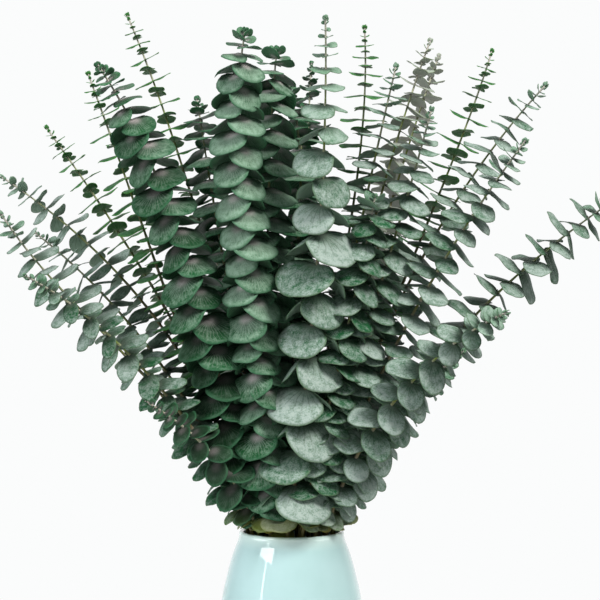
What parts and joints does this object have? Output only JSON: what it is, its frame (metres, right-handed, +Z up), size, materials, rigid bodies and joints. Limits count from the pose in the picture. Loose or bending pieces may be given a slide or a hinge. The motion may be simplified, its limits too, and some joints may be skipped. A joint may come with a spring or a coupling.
{
  "type": "vase of eucalyptus branches",
  "caption": "Round-shouldered glazed vase holding a wide fan of round-leaved eucalyptus branches, their paired leaves small at the tips and large near the mouth.",
  "frame": {"origin": "middle of the vase's flat foot, on the surface it stands on", "axes": "+Z up the vase, +X to the right and -Y to the front of the fan"},
  "size_m": [0.5342, 0.322, 0.6633],
  "materials": {
    "glaze": "gloss",
    "water": "gloss",
    "foliage_grey": "satin",
    "foliage_green": "satin"
  },
  "bodies": {
    "root": {"vase": "glaze", "water": "water", "branch_01": "foliage_grey", "branch_02": "foliage_grey", "branch_03": "foliage_grey", "branch_04": "foliage_grey", "branch_05": "foliage_green", "branch_06": "foliage_green", "branch_07": "foliage_green", "branch_08": "foliage_green", "branch_09": "foliage_green", "branch_10": "foliage_green", "branch_11": "foliage_grey", "branch_12": "foliage_green", "branch_13": "foliage_green", "branch_14": "foliage_green", "branch_15": "foliage_grey", "branch_16": "foliage_green", "branch_17": "foliage_grey", "branch_18": "foliage_grey", "branch_19": "foliage_grey", "branch_20": "foliage_grey", "branch_21": "foliage_grey", "branch_22": "foliage_green", "branch_23": "foliage_grey", "branch_24": "foliage_grey", "branch_25": "foliage_grey", "branch_26": "foliage_grey", "branch_27": "foliage_grey", "branch_28": "foliage_grey", "branch_29": "foliage_grey", "branch_30": "foliage_grey"}
  },
  "joints": []
}
